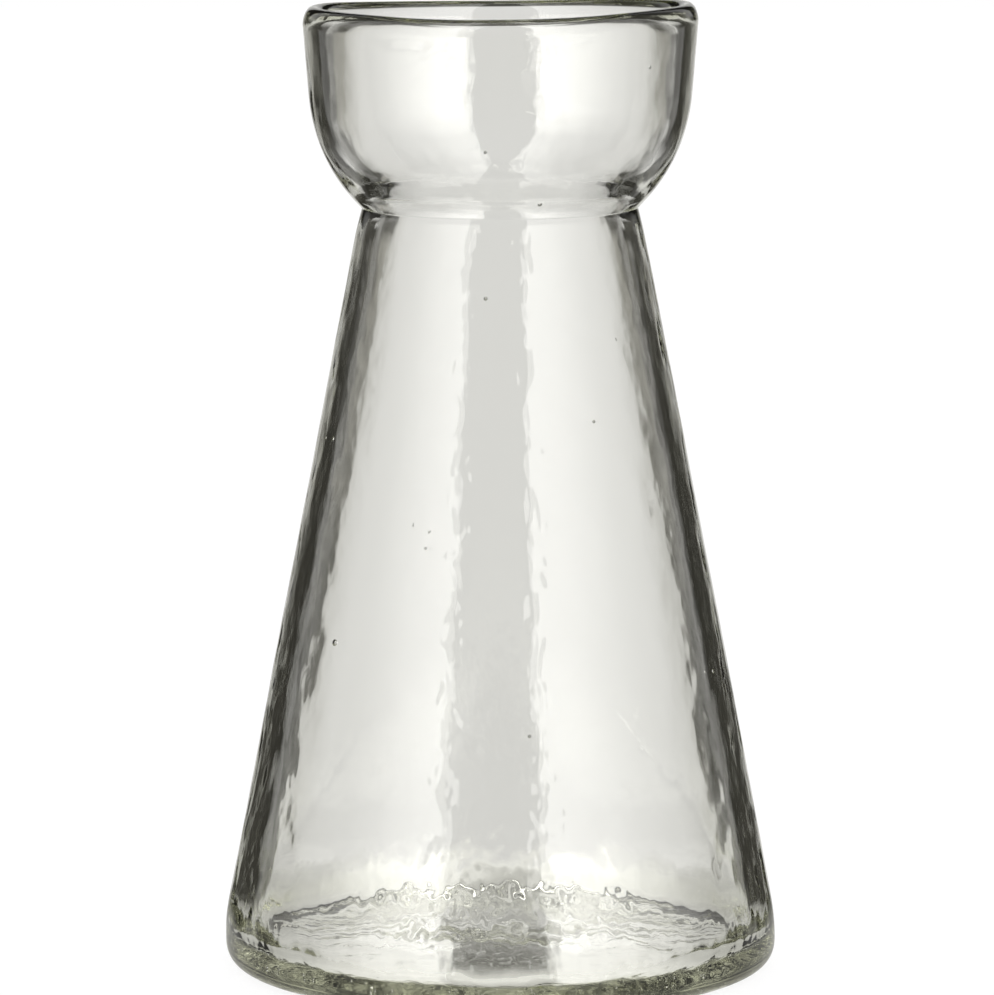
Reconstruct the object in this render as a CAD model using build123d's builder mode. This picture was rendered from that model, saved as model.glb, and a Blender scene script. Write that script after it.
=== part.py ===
from build123d import *
import os

# A hyacinth forcing vase: one piece of hand-blown glass, hollow from lip to floor.
# Millimetres, +Z up. The origin is on the axis, on the surface that the vase stands on.

# Outside of the vase
overall_height = 200.0
foot_diameter = 116.0
rim_diameter = 82.0

# Foot: a flat resting ring, a rounded heel and a short upright side
ring_inner_diameter = 94.0
foot_side_height = 10.0

# Waist: the cone ends in a shoulder that is nipped in to a sharp crease
waist_height = 159.2
waist_diameter = 57.4
shoulder_diameter = 59.9
shoulder_drop = 4.7

# Cup: a round bowl that grows out of the crease, with a nearly upright wall above it
bowl_diameter = 77.6
bowl_rise = 10.4

# Thickness of the glass
lip_thickness = 4.4
bowl_wall = 3.8
bowl_floor_wall = 1.8
throat_wall = 4.0
shoulder_wall = 4.0
foot_wall = 3.3
floor_thickness = 4.7

# Lip: rounded by the flame
lip_height = 3.8

# Inside of the vase: the throat under the cup and the crowned floor of the water space
throat_rise = 1.8
inner_shoulder_drop = 5.5
crown_diameter = 88.0
crown_rise = 3.5

# Underside: the pushed-up punt and the scar that the pontil iron left in it
punt_height = 4.0
pontil_diameter = 22.0
pontil_relief = 0.7

# How much of the shorter run beside a corner its bend takes up
heel_bend_share = 0.5
foot_side_bend_share = 0.48
bowl_bend_share = 0.88
inner_bowl_bend_share = 0.6
throat_bend_share = 0.45
inner_shoulder_bend_share = 0.3
floor_bend_share = 0.95

# A bend's handles reach this far along its two runs
bend_handle_share = 0.66

# Radii and heights that follow from the sizes above
foot_r = foot_diameter / 2
rim_r = rim_diameter / 2
waist_r = waist_diameter / 2
shoulder_r = shoulder_diameter / 2
bowl_r = bowl_diameter / 2
pontil_r = pontil_diameter / 2
inner_rim_r = rim_r - lip_thickness
floor_r = foot_r - foot_wall
shoulder_height = waist_height - shoulder_drop
inner_shoulder_height = shoulder_height - inner_shoulder_drop
bowl_height = waist_height + bowl_rise
lip_spring_height = overall_height - lip_height
scar_height = punt_height - pontil_relief
cone_taper = (foot_r - shoulder_r) / (shoulder_height - foot_side_height)
inner_shoulder_r = shoulder_r + cone_taper * inner_shoulder_drop - shoulder_wall

# Corners of the wall's section, as radius and height. Those inside a run carry a bend.
ring_inner = (ring_inner_diameter / 2, 0)
heel = (foot_r, 0)
foot_side = (foot_r, foot_side_height)
shoulder = (shoulder_r, shoulder_height)
crease = (waist_r, waist_height)
bowl = (bowl_r, bowl_height)
lip_outside = (rim_r, lip_spring_height)
lip_inside = (inner_rim_r, lip_spring_height)
inner_bowl = (bowl_r - bowl_wall, bowl_height + bowl_floor_wall)
throat = (waist_r - throat_wall, waist_height + throat_rise)
inner_shoulder = (inner_shoulder_r, inner_shoulder_height)
floor_edge = (floor_r, floor_thickness)
crown_edge = (crown_diameter / 2, floor_thickness)
crown_top = (0, floor_thickness + crown_rise)
scar_middle = (0, scar_height)
scar_edge = (pontil_r, scar_height)
punt_top = (pontil_r, punt_height)


def bent_line(corners, bend_shares):
    """Straight runs through the corners, with a smooth bend at each one between the ends."""
    points = [Vector(*corner) for corner in corners]
    here = points[0]
    for before, corner, after, share in zip(points, points[1:], points[2:], bend_shares):
        reach = share * min((before - corner).length, (after - corner).length)
        enter = corner + (before - corner).normalized() * reach
        leave = corner + (after - corner).normalized() * reach
        Line(here, enter)
        Bezier(
            enter,
            enter + (corner - enter) * bend_handle_share,
            leave + (corner - leave) * bend_handle_share,
            leave,
        )
        here = leave
    Line(here, points[-1])


# The glass, turned about its axis from the closed section of its wall, floor and punt
with BuildPart() as glass_vase:
    with BuildSketch(Plane.XZ):
        with BuildLine():
            bent_line(
                [ring_inner, heel, foot_side, shoulder],
                [heel_bend_share, foot_side_bend_share],
            )
            Line(shoulder, crease)
            bent_line([crease, bowl, lip_outside], [bowl_bend_share])
            EllipticalCenterArc(
                (rim_r - lip_thickness / 2, lip_spring_height),
                x_radius=lip_thickness / 2,
                y_radius=lip_height,
                start_angle=0,
                arc_size=180,
            )
            bent_line(
                [lip_inside, inner_bowl, throat, inner_shoulder, floor_edge, crown_edge],
                [
                    inner_bowl_bend_share,
                    throat_bend_share,
                    inner_shoulder_bend_share,
                    floor_bend_share,
                ],
            )
            Spline(crown_edge, crown_top, tangents=[(-1, 0), (-1, 0)])
            Polyline(crown_top, scar_middle, scar_edge, punt_top)
            Spline(punt_top, ring_inner, tangents=[(1, 0), (1, 0)])
        make_face()
    revolve(axis=Axis.Z)

glass_vase.part.label = "glass_vase"

os.makedirs("parts", exist_ok=True)
export_step(glass_vase.part, "parts/glass_vase.step")
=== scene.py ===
import math

import bpy
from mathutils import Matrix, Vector, noise


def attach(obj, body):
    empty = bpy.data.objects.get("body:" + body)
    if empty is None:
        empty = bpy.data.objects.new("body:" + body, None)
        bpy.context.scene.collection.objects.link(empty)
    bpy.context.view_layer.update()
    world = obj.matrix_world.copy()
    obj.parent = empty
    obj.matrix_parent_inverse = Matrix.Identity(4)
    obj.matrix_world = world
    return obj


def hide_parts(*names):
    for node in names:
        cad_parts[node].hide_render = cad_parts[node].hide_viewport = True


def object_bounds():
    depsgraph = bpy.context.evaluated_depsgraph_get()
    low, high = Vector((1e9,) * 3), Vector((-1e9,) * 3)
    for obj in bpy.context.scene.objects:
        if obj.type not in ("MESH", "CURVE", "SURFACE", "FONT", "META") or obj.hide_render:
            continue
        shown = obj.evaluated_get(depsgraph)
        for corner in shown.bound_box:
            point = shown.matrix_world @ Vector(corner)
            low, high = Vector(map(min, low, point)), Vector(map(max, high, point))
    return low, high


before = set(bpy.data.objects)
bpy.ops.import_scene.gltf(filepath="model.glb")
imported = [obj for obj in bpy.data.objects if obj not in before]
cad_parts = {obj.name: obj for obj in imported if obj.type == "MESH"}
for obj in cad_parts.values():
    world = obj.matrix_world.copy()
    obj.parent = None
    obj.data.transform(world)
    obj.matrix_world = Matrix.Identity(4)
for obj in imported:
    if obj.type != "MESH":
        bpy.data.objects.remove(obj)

# A hyacinth forcing vase: one piece of hand-blown glass, turned about the Z axis. Metres.
cad_low, cad_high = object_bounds()
overall_height = cad_high.z
foot_radius = cad_high.x

# Sizes of the glass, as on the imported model
ring_inner_radius = 0.047
foot_side_height = 0.010
rim_radius = 0.041
lip_thickness = 0.0044
lip_height = 0.0038
crown_radius = 0.044
crown_rise = 0.0035
pontil_radius = 0.011
punt_height = 0.004
pontil_relief = 0.0007

# Corners of the wall's section, as radius and height
shoulder = Vector((0.02995, 0.1545))
crease = Vector((0.0287, 0.1592))
bowl = Vector((0.0388, 0.1696))
inner_bowl = Vector((0.0350, 0.1714))
throat = Vector((0.0247, 0.1610))
inner_shoulder = Vector((0.0270, 0.1490))
floor_edge = Vector((0.0547, 0.0047))

# Corners that follow from the sizes above
lip_spring_height = overall_height - lip_height
scar_height = punt_height - pontil_relief
ring_inner = Vector((ring_inner_radius, 0))
heel = Vector((foot_radius, 0))
foot_side = Vector((foot_radius, foot_side_height))
lip_outside = Vector((rim_radius, lip_spring_height))
lip_inside = Vector((rim_radius - lip_thickness, lip_spring_height))
crown_edge = Vector((crown_radius, floor_edge.y))
crown_top = Vector((0, floor_edge.y + crown_rise))
scar_middle = Vector((0, scar_height))
scar_edge = Vector((pontil_radius, scar_height))
punt_top = Vector((pontil_radius, punt_height))

# Share of the shorter run that each bend takes up, and of the bend that its handles span
heel_share = 0.5
foot_side_share = 0.48
shoulder_share = 0.1
bowl_share = 0.88
inner_bowl_share = 0.6
throat_share = 0.45
inner_shoulder_share = 0.3
floor_share = 0.95
handle_share = 0.66

# Mesh: columns round the axis, rows along the section, how the rows crowd at tight bends, and
# the least that anything is divided by
column_count = 240
row_count = 384
fine_step = 0.0001
least_bend_steps = 8
heading_reach = 3
plain_row_step = 0.0018
finest_row_step = 0.0003
bend_crowding = 0.10
tiny = 1e-9


def lerp(a, b, share):
    return a + (b - a) * share


def smooth(share):
    """Eased step from 0 to 1, flat outside that range."""
    share = min(1.0, max(0.0, share))
    return share * share * (3 - 2 * share)


def straight(a, b):
    steps = max(1, int((b - a).length / fine_step))
    return [lerp(a, b, i / steps) for i in range(steps)]


def bezier(a, b, c, d):
    steps = max(least_bend_steps, int((d - a).length / fine_step))
    points = []
    for i in range(steps):
        t = i / steps
        u = 1 - t
        points.append(a * u ** 3 + b * 3 * u * u * t + c * 3 * u * t * t + d * t ** 3)
    return points


def bent_line(corners, shares):
    """Straight runs through the corners with a smooth bend at each one between the ends."""
    points, here = [], corners[0]
    for before, corner, after, share in zip(corners, corners[1:], corners[2:], shares):
        reach = share * min((before - corner).length, (after - corner).length)
        enter = corner + (before - corner).normalized() * reach
        leave = corner + (after - corner).normalized() * reach
        points += straight(here, enter)
        points += bezier(
            enter,
            lerp(enter, corner, handle_share),
            lerp(leave, corner, handle_share),
            leave,
        )
        here = leave
    return points + straight(here, corners[-1])


def eased_run(a, b):
    """A run that leaves a and reaches b level."""
    third = Vector(((b.x - a.x) / 3, 0))
    return bezier(a, a + third, b - third, b)


def lip():
    """Half an ellipse over the lip, from the outside to the inside."""
    half = lip_thickness / 2
    steps = int(math.pi * lip_height / fine_step)
    points = []
    for i in range(steps):
        turn = math.pi * i / steps
        across = rim_radius - half + half * math.cos(turn)
        points.append(Vector((across, lip_spring_height + lip_height * math.sin(turn))))
    return points


def section():
    """The section by zone, from the middle of the underside, over the lip, to the floor's middle."""
    under = straight(scar_middle, scar_edge) + straight(scar_edge, punt_top)
    under += eased_run(punt_top, ring_inner)
    cone = bent_line([heel, foot_side, shoulder, crease], [foot_side_share, shoulder_share])
    cone = [point for point in cone if point.y > foot_side_height * (1 - heel_share)]
    ring = bent_line([ring_inner, heel, foot_side], [heel_share])[:-1]
    inner = bent_line(
        [lip_inside, inner_bowl, throat, inner_shoulder, floor_edge, crown_edge],
        [inner_bowl_share, throat_share, inner_shoulder_share, floor_share],
    )
    return {
        "under": under,
        "ring": [point for point in ring if point.y <= cone[0].y],
        "outer": cone + bent_line([crease, bowl, lip_outside], [bowl_share]),
        "lip": lip(),
        "inner": inner + eased_run(crown_edge, crown_top) + [crown_top],
    }


def headings_along(points):
    """Heading of the section at each point, taken over a few points on either side."""
    last = len(points) - 1
    headings = []
    for i in range(len(points)):
        before = points[max(0, i - heading_reach)]
        after = points[min(last, i + heading_reach)]
        headings.append((after - before).normalized())
    return headings


def rows_along(lengths, headings):
    """How many rows the section wants up to each point, with more of them where it turns."""
    wanted = [0.0]
    for i in range(1, len(lengths)):
        step = lengths[i] - lengths[i - 1]
        curve = headings[i - 1].angle(headings[i], 0.0) / max(step, tiny)
        row_step = max(finest_row_step, min(plain_row_step, bend_crowding / max(curve, tiny)))
        wanted.append(wanted[-1] + step / row_step)
    return wanted


def resampled(zones):
    """Rows along the section: place, normal, zone, and distance from the nearer end of the zone."""
    points = [point for zone in zones.values() for point in zone]
    names = [name for name, zone in zones.items() for _ in zone]
    lengths = [0.0]
    for a, b in zip(points, points[1:]):
        lengths.append(lengths[-1] + (b - a).length)
    ends = {}
    for name, length in zip(names, lengths):
        start, _ = ends.get(name, (length, length))
        ends[name] = (start, length)
    headings = headings_along(points)
    wanted = rows_along(lengths, headings)
    rows, at = [], 0
    for k in range(row_count):
        target = wanted[-1] * k / (row_count - 1)
        while at < len(wanted) - 2 and wanted[at + 1] < target:
            at += 1
        share = (target - wanted[at]) / max(wanted[at + 1] - wanted[at], tiny)
        share = min(1.0, max(0.0, share))
        length = lerp(lengths[at], lengths[at + 1], share)
        start, end = ends[names[at]]
        normal = Vector((headings[at].y, -headings[at].x))
        place = lerp(points[at], points[at + 1], share)
        rows.append((place, normal, names[at], min(length - start, end - length)))
    return rows


# Waves of the skin: each one's height, width, stretch along Z and seed
outer_waves = [(0.00007, 0.009, 1.8, 3.1), (0.00004, 0.0055, 1.1, 7.7)]
outer_dents = [(0.00018, 0.034, 1.6, 1.3)]
tool_marks = [(0.00004, 0.010, 0.3, 63.0)]
inner_dents = [(0.00012, 0.030, 1.6, 5.9)]
floor_grit = [(0.0001, 0.0030, 1, 33.0)]
plain_waves = {
    "under": [(0.0002, 0.007, 1, 41.0), (0.00004, 0.003, 1, 45.0)],
    "ring": [],
    "lip": [(0.00016, 0.017, 1, 51.0)],
}

# The waves grow towards the foot and are calmer on the cup, where the tool marks begin
low_growth = 0.6
low_growth_top = 0.085
low_growth_span = 0.07
cup_calm = 0.65
cup_calm_start = 0.155
cup_calm_span = 0.01
tool_mark_start = 0.156
tool_mark_span = 0.006

# The inside follows the outside across the wall, and turns into floor near the bottom
wall_span = 0.0041
follow_share = 0.7
floor_blend_top = 0.018
floor_blend_span = 0.010

# Folds of the floor: their height, width and middle level, and how far a swirl pulls them about
fold_height = 0.0007
fold_width = 0.011
fold_middle = 0.35
fold_seed = 29.0
swirl_reach = 0.006
swirl_width = 0.016
swirl_seeds = (21.0, 25.0)

# The relief dies out towards the ends of each zone
zone_ramp = 0.005
lip_ramp = zone_ramp / 2

# The rim leans, sways and stands a little proud, and the glass below it follows
rim_tilt = 0.0100
rim_sway = 0.0006
rim_lift = 0.0009
tilt_start_height = 0.150


def ripple(x, y, z, width, stretch, seed):
    """Smooth noise, about from -1 to 1, drawn out along Z by stretch."""
    return noise.noise(Vector((x / width + seed, y / width - seed, z / (width * stretch))))


def waves_at(waves, x, y, z):
    return sum(height * ripple(x, y, z, *shape) for height, *shape in waves)


def outer_relief(x, y, z):
    low = 1 + low_growth * smooth((low_growth_top - z) / low_growth_span)
    cup = 1 - cup_calm * smooth((z - cup_calm_start) / cup_calm_span)
    marks = waves_at(tool_marks, x, y, z) * smooth((z - tool_mark_start) / tool_mark_span)
    return waves_at(outer_waves, x, y, z) * low * cup + waves_at(outer_dents, x, y, z) + marks


def floor_share_at(z):
    """How much of the inside counts as floor at a height, from 0 to 1."""
    return smooth((floor_blend_top - z) / floor_blend_span)


def wall_relief(x, y, z):
    """The inside follows the outside across the wall, and has slow dents of its own."""
    reach = 1 + wall_span / max(wall_span, math.hypot(x, y))
    return waves_at(inner_dents, x, y, z) - follow_share * outer_relief(x * reach, y * reach, z)


def floor_relief(x, y, z):
    """Creases where the glass folded, pulled about by a slow swirl."""
    swirl_x, swirl_y = [swirl_reach * ripple(x, y, z, swirl_width, 1, seed) for seed in swirl_seeds]
    folds = abs(ripple(x + swirl_x, y + swirl_y, z, fold_width, 1, fold_seed))
    return fold_height * (fold_middle - folds) + waves_at(floor_grit, x, y, z)


def relief_at(zone, x, y, z):
    """How far the skin stands out at a place of a zone. The resting ring is flat."""
    if zone == "outer":
        return outer_relief(x, y, z)
    if zone == "inner":
        return lerp(wall_relief(x, y, z), floor_relief(x, y, z), floor_share_at(z))
    return waves_at(plain_waves[zone], x, y, z)


# How much of the fine grain each part of the skin has. The outside has it in front and behind.
plain_grain = {"under": 0.4, "ring": 0.04, "lip": 0.0}
floor_grain = 0.8
front_grain = 0.9
side_grain = 0.13
cup_front_grain = 0.4
cup_side_grain = 0.08
front_from = 0.80
front_to = 0.97
cup_grain_start = 0.150
cup_grain_span = 0.012


def grain_at(zone, turn, z):
    if zone == "inner":
        return floor_grain * floor_share_at(z)
    if zone != "outer":
        return plain_grain[zone]
    front = smooth((abs(math.sin(turn)) - front_from) / (front_to - front_from))
    cup = smooth((z - cup_grain_start) / cup_grain_span)
    cone_grain = lerp(side_grain, front_grain, front)
    return lerp(cone_grain, lerp(cup_side_grain, cup_front_grain, front), cup)


# Seed bubbles in the wall: angle round the axis in degrees, height, radius
seeds = [
    (-94.8, 0.1737, 0.00035),
    (-75.0, 0.1628, 0.00045),
    (-95.6, 0.1432, 0.00040),
    (-139.0, 0.0722, 0.00070),
    (-58.0, 0.1180, 0.00035),
    (-112.0, 0.0930, 0.00030),
    (-83.0, 0.0560, 0.00035),
    (35.0, 0.1300, 0.00045),
    (118.0, 0.0870, 0.00050),
    (-164.0, 0.1120, 0.00045),
    (-20.0, 0.0640, 0.00050),
    (-40.0, 0.1900, 0.00035),
]
seed_depth = 0.0018
seed_columns = 8
seed_rows = 6

# Finer seeds in the floor: how many, how far out, how deep, their radii and the turn between two
floor_seed_count = 110
floor_seed_reach = 0.051
floor_seed_depth = 0.0012
floor_seed_radii = (0.00012, 0.00034)
golden_turn = math.radians(137.5)

# Where the draws for the floor's seeds are read from the noise: step and line
turn_draw = (0.37, 5.3)
size_draw = (0.71, 9.1)


def around_axis(across, turn, height):
    return Vector((across * math.cos(turn), across * math.sin(turn), height))


def drawn(k, draw):
    step, line = draw
    return noise.noise(Vector((k * step, line, 0)))


def wall_seeds(wall):
    """Centre and radius of each seed bubble in the wall."""
    places = []
    for angle, height, radius in seeds:
        outside = min(wall, key=lambda point: abs(point.y - height))
        places.append((around_axis(outside.x - seed_depth, math.radians(angle), height), radius))
    return places


def floor_seeds():
    """Centre and radius of each seed bubble in the floor, spread evenly over it."""
    places = []
    for k in range(floor_seed_count):
        across = floor_seed_reach * math.sqrt((k + 0.5) / floor_seed_count)
        turn = golden_turn * k + drawn(k, turn_draw)
        crown = crown_rise * smooth((crown_radius - across) / crown_radius)
        size = min(1.0, max(0.0, 0.5 + drawn(k, size_draw)))
        centre = around_axis(across, turn, floor_edge.y + crown - floor_seed_depth)
        places.append((centre, lerp(*floor_seed_radii, size)))
    return places


def add_seed(vertices, faces, centre, radius):
    """A small ball of air in the glass: its faces look into the ball."""
    first = len(vertices)
    vertices.append(tuple(centre + Vector((0, 0, -radius))))
    for row in range(1, seed_rows):
        lean = math.pi * row / seed_rows
        for column in range(seed_columns):
            turn = 2 * math.pi * column / seed_columns
            offset = around_axis(radius * math.sin(lean), turn, -radius * math.cos(lean))
            vertices.append(tuple(centre + offset))
    vertices.append(tuple(centre + Vector((0, 0, radius))))
    last = len(vertices) - 1
    for column in range(seed_columns):
        after = (column + 1) % seed_columns
        faces.append((first, first + 1 + column, first + 1 + after))
        for row in range(seed_rows - 2):
            low = first + 1 + row * seed_columns
            high = low + seed_columns
            faces.append((low + column, high + column, high + after, low + after))
        top = last - seed_columns
        faces.append((top + column, last, top + after))


def on_skin(place, normal, zone, fade, turn):
    """A point of the skin, moved by its relief and by the lean of the rim."""
    cosine, sine = math.cos(turn), math.sin(turn)
    relief = relief_at(zone, place.x * cosine, place.x * sine, place.y) * fade
    across = place.x + normal.x * relief
    height = place.y + normal.y * relief
    rise = smooth((height - tilt_start_height) / (overall_height - tilt_start_height))
    x, y = across * cosine, across * sine
    return x, y, height + rise * (rim_tilt * x + rim_sway * math.cos(2 * turn) + rim_lift)


def add_rings(vertices, grain, rows):
    """Rings of vertices, one for each row, and a single vertex where a row meets the axis."""
    rings = []
    for place, normal, zone, edge in rows:
        start = len(vertices)
        if place.x < fine_step:
            vertices.append((0, 0, place.y))
            grain.append(grain_at(zone, 0.0, place.y))
        else:
            fade = smooth(edge / (lip_ramp if zone == "lip" else zone_ramp))
            # The floor keeps its relief up to the axis, where its zone ends
            if zone == "inner" and place.x < crown_radius:
                fade = 1.0
            for column in range(column_count):
                turn = 2 * math.pi * column / column_count
                vertices.append(on_skin(place, normal, zone, fade, turn))
                grain.append(grain_at(zone, turn, vertices[-1][2]) * fade)
        rings.append(range(start, len(vertices)))
    return rings


def stitch(faces, rings):
    """Faces from each ring to the next, and triangles to the single vertices on the axis."""
    for below, above in zip(rings, rings[1:]):
        for column in range(column_count):
            after = (column + 1) % column_count
            if len(below) == 1:
                faces.append((below[0], above[after], above[column]))
            elif len(above) == 1:
                faces.append((below[column], below[after], above[0]))
            else:
                faces.append((below[column], below[after], above[after], above[column]))


def glass_mesh():
    zones = section()
    vertices, faces, grain = [], [], []
    stitch(faces, add_rings(vertices, grain, resampled(zones)))
    for centre, radius in wall_seeds(zones["outer"]) + floor_seeds():
        add_seed(vertices, faces, centre, radius)
    grain += [0.0] * (len(vertices) - len(grain))
    mesh = bpy.data.meshes.new("blown_glass_vase")
    mesh.from_pydata(vertices, [], faces)
    mesh.update()
    mesh.shade_smooth()
    mesh.attributes.new("grain", "FLOAT", "POINT").data.foreach_set("value", grain)
    return mesh


# Places of the colour sockets on a mix node, where several sockets share a name
mix_first = 6
mix_second = 7
mix_result = 2


class NodeWork:
    """Short ways to add nodes to a material or to the world, and to link them."""

    def __init__(self, owner):
        owner.use_nodes = True
        self.nodes = owner.node_tree.nodes
        self.links = owner.node_tree.links

    def add(self, kind, **fed):
        """A node, with each named input fed by a value or by another node's output."""
        node = self.nodes.new("ShaderNode" + kind)
        for name, value in fed.items():
            self.feed(node.inputs[name], value)
        return node

    def feed(self, socket, value):
        if isinstance(value, bpy.types.NodeSocket):
            self.links.new(value, socket)
        else:
            socket.default_value = value

    def calculate(self, operation, *values):
        node = self.nodes.new("ShaderNodeMath")
        node.operation = operation
        for socket, value in zip(node.inputs, values):
            self.feed(socket, value)
        return node.outputs["Value"]

    def between(self, value, ends, results=(0.0, 1.0)):
        """The value's way from one end to the other, from the first result to the second."""
        node = self.add("MapRange", Value=value)
        node.inputs["From Min"].default_value, node.inputs["From Max"].default_value = ends
        node.inputs["To Min"].default_value, node.inputs["To Max"].default_value = results
        return node.outputs["Result"]

    def ramp(self, value, stops):
        """Colour by value, from places between 0 and 1 and their colours."""
        node = self.add("ValToRGB", Fac=value)
        elements = node.color_ramp.elements
        while len(elements) < len(stops):
            elements.new(0.5)
        for element, (place, colour) in zip(elements, stops):
            element.position = place
        for element, (place, colour) in zip(elements, stops):
            element.color = (*colour, 1)
        return node.outputs["Color"]

    def mixed(self, share, first, second):
        node = self.add("Mix")
        node.data_type = "RGBA"
        self.feed(node.inputs["Factor"], share)
        self.feed(node.inputs[mix_first], first)
        self.feed(node.inputs[mix_second], second)
        return node.outputs[mix_result]

    def mixed_shader(self, share, first, second):
        node = self.add("MixShader", Fac=share)
        self.feed(node.inputs[1], first)
        self.feed(node.inputs[2], second)
        return node.outputs[0]

    def seen_in_glass(self):
        """1 for rays that the glass reflects or lets through, 0 for the rest."""
        paths = self.add("LightPath")
        return self.calculate("MAXIMUM", paths.outputs["Is Glossy Ray"], paths.outputs["Is Transmission Ray"])


# Glass: how strongly it bends light, and the colour and density of its body
glass_ior = 1.5
body_colour = (0.42, 0.44, 0.17, 1)
body_density = 12.0

# Fine grain of the glass: its depth, how fine and detailed it is, and its stretch along Z
grain_depth = 0.0004
grain_scale = 290
grain_detail = 1.0
grain_squeeze = (1.0, 1.0, 0.6)


def grain_normal(work):
    """Normal of the glass with the fine grain, as strong as the mesh's grain says."""
    place = work.add("TexCoord").outputs["Object"]
    squeezed = work.add("Mapping", Vector=place, Scale=grain_squeeze).outputs["Vector"]
    grain = work.add("TexNoise", Vector=squeezed, Scale=grain_scale, Detail=grain_detail)
    strength = work.nodes.new("ShaderNodeAttribute")
    strength.attribute_name = "grain"
    bump = work.add(
        "Bump",
        Strength=strength.outputs["Fac"],
        Distance=grain_depth,
        Height=grain.outputs["Fac"],
    )
    return bump.outputs["Normal"]


def glass_material():
    """Clear glass with a faint grey-green body tint."""
    material = bpy.data.materials.new("clear_blown_glass")
    work = NodeWork(material)
    shader = work.nodes["Principled BSDF"]
    shader.inputs["Base Color"].default_value = (1, 1, 1, 1)
    shader.inputs["Transmission Weight"].default_value = 1.0
    shader.inputs["Roughness"].default_value = 0.0
    shader.inputs["IOR"].default_value = glass_ior
    work.feed(shader.inputs["Normal"], grain_normal(work))
    body = work.add("VolumeAbsorption", Color=body_colour, Density=body_density)
    work.feed(work.nodes["Material Output"].inputs["Volume"], body.outputs["Volume"])
    return material


def make_vase():
    mesh = glass_mesh()
    vase = bpy.data.objects.new("blown_glass_vase", mesh)
    bpy.context.scene.collection.objects.link(vase)
    mesh.materials.append(glass_material())
    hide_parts("glass_vase")
    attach(vase, "root")


# Studio: brightness by angle from straight behind the vase, left is negative. Two dark cards
# stand beside the lit backdrop, and two soft boxes stand beside the camera with a gap between.
backdrop = [(-12.4, 0.60), (-9, 0.725), (9, 0.725), (13.4, 0.60)]
left_box = [(-145, 3.8), (-130, 2.95), (-118, 2.05), (-103, 1.15), (-84, 0.80), (-77, 0.28)]
right_box = [(77, 0.28), (84, 0.80), (108, 1.8), (119, 2.5), (137, 3.6), (145, 3.9)]
box_level = 4.2
box_edge = 0.5
gap_level = 0.68

# For each of three heights: the ends of the gap between the boxes, and the dark cards with
# what stands beside them
high_gap = (-154.5, 161)
high_left = [(-46, 0.28), (-39, 0.68), (-30, 0.68), (-28, 0.03), (-13.5, 0.03)]
high_right = [(14.5, 0.03), (26, 0.03), (28, 0.68), (37, 0.68), (44, 0.28)]
cup_gap = (-161, 158)
cup_left = [(-64, 0.28), (-56, 0.68), (-51, 0.035), (-22, 0.035), (-19, 0.28), (-13.5, 0.42)]
cup_right = [(14.5, 0.42), (19, 0.28), (22, 0.035), (50, 0.035), (55, 0.68), (63, 0.28)]
low_gap = (-160, 157)
low_left = [(-64, 0.28), (-57, 0.68), (-48, 0.68), (-46, 0.05), (-16, 0.04), (-13.5, 0.09)]
low_right = [(14.5, 0.09), (17, 0.04), (43, 0.05), (45, 0.68), (54, 0.68), (61, 0.28)]

# Over the boxes it is dark. Under them it is pale, then dark behind the vase, then white.
side_level = 0.68
sides_left = [(-34, side_level), (-32, 0.03), (-13.5, 0.03)]
sides_right = [(14.5, 0.03), (30, 0.03), (32, side_level)]
under_boxes = [(-82, side_level), (-62, 0.03), (62, 0.03), (82, side_level)]
white_level = 0.80
top_level = 0.05

# Heights in degrees above the horizon between which one turns into the next
high_range = (1, 6)
low_range = (-3.5, -6.5)
box_bottom_range = (-14, -23)
dark_range = (-28, -33)
white_range = (-60, -66)
top_range = (71, 85)

# The brightest level that a stop can have, and the warmth of the light: more in the darks
brightest = 4.5
warmth_least = 0.03
warmth_gain = 0.25
warmth_below = 0.7
green_share = 0.2


def even(level):
    """The same level all round."""
    return [(-180, level), (180, level)]


def surround(gap, left, right):
    """Levels all round at one height, from the left end of the gap to its right end."""
    gap_left, gap_right = gap
    return [
        (gap_left, gap_level),
        (gap_left + box_edge, box_level),
        *[stop for stop in left_box if stop[0] > gap_left + box_edge],
        *left,
        *backdrop,
        *right,
        *[stop for stop in right_box if stop[0] < gap_right - box_edge],
        (gap_right - box_edge, box_level),
        (gap_right, gap_level),
    ]


def light_colour(level):
    """A level as a share of the brightest one, with its warmth."""
    share = level / brightest
    warmth = warmth_least + warmth_gain * max(0.0, warmth_below - level)
    return share, share * (1 - green_share * warmth), share * (1 - warmth)


def studio_light(work):
    """Colour of the studio by direction."""
    parts = work.add("SeparateXYZ", Vector=work.add("TexCoord").outputs["Generated"])
    azimuth = work.calculate("ARCTAN2", parts.outputs["X"], parts.outputs["Y"])
    turned = work.calculate("MULTIPLY_ADD", azimuth, 0.5 / math.pi, 0.5)
    height = work.calculate("ARCSINE", parts.outputs["Z"])
    degrees = work.calculate("MULTIPLY", height, 180 / math.pi)

    def ring(levels):
        return work.ramp(turned, [(angle / 360 + 0.5, light_colour(level)) for angle, level in levels])

    others = [
        (surround(high_gap, high_left, high_right), high_range),
        (surround(low_gap, low_left, low_right), low_range),
        ([*sides_left, *backdrop, *sides_right], box_bottom_range),
        (under_boxes, dark_range),
        (even(white_level), white_range),
        (even(top_level), top_range),
    ]
    around = ring(surround(cup_gap, cup_left, cup_right))
    for levels, heights in others:
        around = work.mixed(work.between(degrees, heights), around, ring(levels))
    return around


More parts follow.
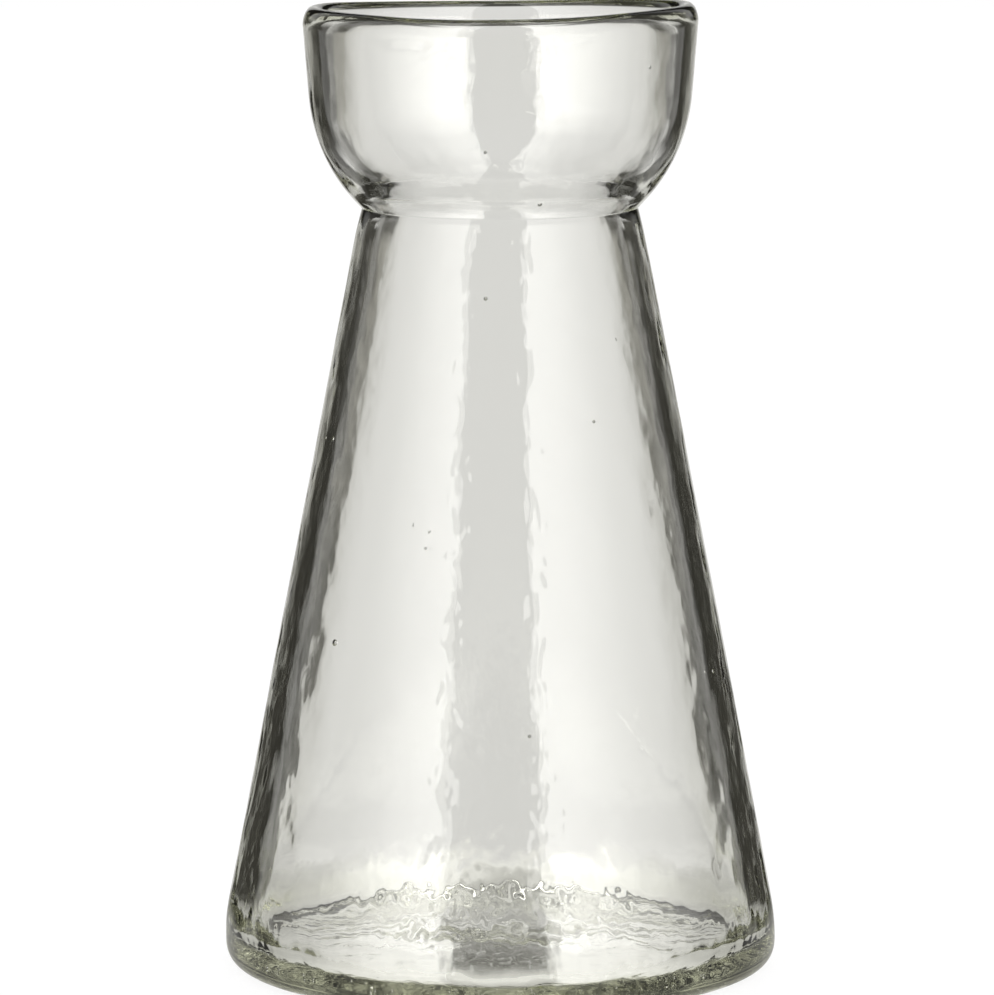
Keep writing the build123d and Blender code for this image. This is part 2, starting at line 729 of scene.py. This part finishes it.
def make_world():
    """White for the camera and for light on the floor, and the studio for what the glass shows."""
    world = bpy.data.worlds.new("studio")
    bpy.context.scene.world = world
    work = NodeWork(world)
    work.nodes.clear()
    studio = work.add("Background", Color=studio_light(work), Strength=brightest)
    white = work.add("Background", Color=(1, 1, 1, 1), Strength=1.0)
    chosen = work.mixed_shader(work.seen_in_glass(), white.outputs[0], studio.outputs[0])
    work.add("OutputWorld", Surface=chosen)


# Floor: half its width, how far it lies under the ring, and its colour and glow in the picture
floor_half = 4.0
floor_drop = 0.0002
floor_colour = (0.16, 0.16, 0.16, 1)
floor_glow = (0.88, 0.88, 0.88, 1)

# Table that the glass shows in place of the floor: a pale glow with painted shade darker to the sides, gone
# further out
table_tint = (1.0, 0.995, 0.94, 1)
side_shade_span = (0.028, 0.045)
side_shade_levels = (0.88, 0.55)
table_end = (0.080, 0.120)

# Stripe of painted shade along the middle of the table: its colour, where its sides fade out, and how faded
# it is by Y
shade_stripe_colour = (0.030, 0.028, 0.012, 1)
stripe_edge = (0.0085, 0.0120)
stripe_fade = [(-0.052, 1.0), (-0.034, 0.0), (0.036, 0.12), (0.080, 1.0)]
stripe_reach = 0.100

# Light specks on the stripe of painted shade
speck_scale = 700
speck_detail = 2.0
speck_range = (0.50, 0.85)
speck_levels = (0.0, 0.8)


def shaded_table_colour(work, place):
    """Colour of the table under the vase: a pale glow with painted shade darker to the sides, and a speckled
    dark stripe of painted shade.
    """
    parts = work.add("SeparateXYZ", Vector=place)
    aside = work.calculate("ABSOLUTE", parts.outputs["X"])
    along = work.between(parts.outputs["Y"], (-stripe_reach, stripe_reach))
    stops = [(y / (2 * stripe_reach) + 0.5, (level, level, level)) for y, level in stripe_fade]
    # Outside the stripe of painted shade, or where the stripe fades out along Y
    outside = work.calculate("MAXIMUM", work.between(aside, stripe_edge), work.ramp(along, stops))
    speckle = work.add("TexNoise", Vector=place, Scale=speck_scale, Detail=speck_detail)
    specks = work.between(speckle.outputs["Fac"], speck_range, speck_levels)
    unshaded_share = work.calculate("MAXIMUM", outside, specks)
    # Painted shade: the table's glow darkens towards the sides
    pale = work.mixed(work.between(aside, side_shade_span, side_shade_levels), (0, 0, 0, 1), table_tint)
    return work.mixed(unshaded_share, shade_stripe_colour, pale)


def floor_material():
    """A white floor that keeps the shadow, and a glowing table with painted shade for what the glass shows.
    """
    material = bpy.data.materials.new("white_floor")
    work = NodeWork(material)
    work.nodes.clear()
    place = work.add("NewGeometry").outputs["Position"]
    picture = work.nodes.new("ShaderNodeAddShader")
    work.feed(picture.inputs[0], work.add("BsdfDiffuse", Color=floor_colour).outputs[0])
    work.feed(picture.inputs[1], work.add("Emission", Color=floor_glow).outputs[0])
    distance = work.nodes.new("ShaderNodeVectorMath")
    distance.operation = "LENGTH"
    work.feed(distance.inputs[0], place)
    # The table glows, with painted shade in its colour
    table = work.add("Emission", Color=shaded_table_colour(work, place)).outputs[0]
    beyond = work.between(distance.outputs["Value"], table_end)
    under = work.mixed_shader(beyond, table, work.add("BsdfTransparent").outputs[0])
    chosen = work.mixed_shader(work.seen_in_glass(), picture.outputs[0], under)
    work.add("OutputMaterial", Surface=chosen)
    return material


def make_floor():
    mesh = bpy.data.meshes.new("floor")
    corners = [(-1, -1), (1, -1), (1, 1), (-1, 1)]
    mesh.from_pydata([(x * floor_half, y * floor_half, 0) for x, y in corners], [], [(0, 1, 2, 3)])
    mesh.materials.append(floor_material())
    floor = bpy.data.objects.new("floor", mesh)
    floor.location.z = -floor_drop
    bpy.context.scene.collection.objects.link(floor)


# Camera: in front of the vase, a little above its lip, looking slightly down
camera_distance = 1.180
camera_side = -0.00073
camera_height = 0.260
camera_pitch = 7.8
lens_length = 205.7
sensor_width = 36
nearest = 0.01
farthest = 100


def make_camera():
    data = bpy.data.cameras.new("camera")
    data.lens = lens_length
    data.sensor_width = sensor_width
    data.clip_start = nearest
    data.clip_end = farthest
    camera = bpy.data.objects.new("camera", data)
    camera.location = (camera_side, -camera_distance, camera_height)
    camera.rotation_euler = (math.radians(90 - camera_pitch), 0, 0)
    bpy.context.scene.collection.objects.link(camera)
    bpy.context.scene.camera = camera


# Light crosses the thick glass of the foot and the lip many times
all_bounces = 24
glossy_bounces = 16

make_vase()
make_floor()
make_world()
make_camera()
bpy.context.scene.view_settings.view_transform = "Standard"
light_paths = bpy.context.scene.cycles
light_paths.max_bounces = all_bounces
light_paths.glossy_bounces = glossy_bounces
light_paths.transmission_bounces = all_bounces
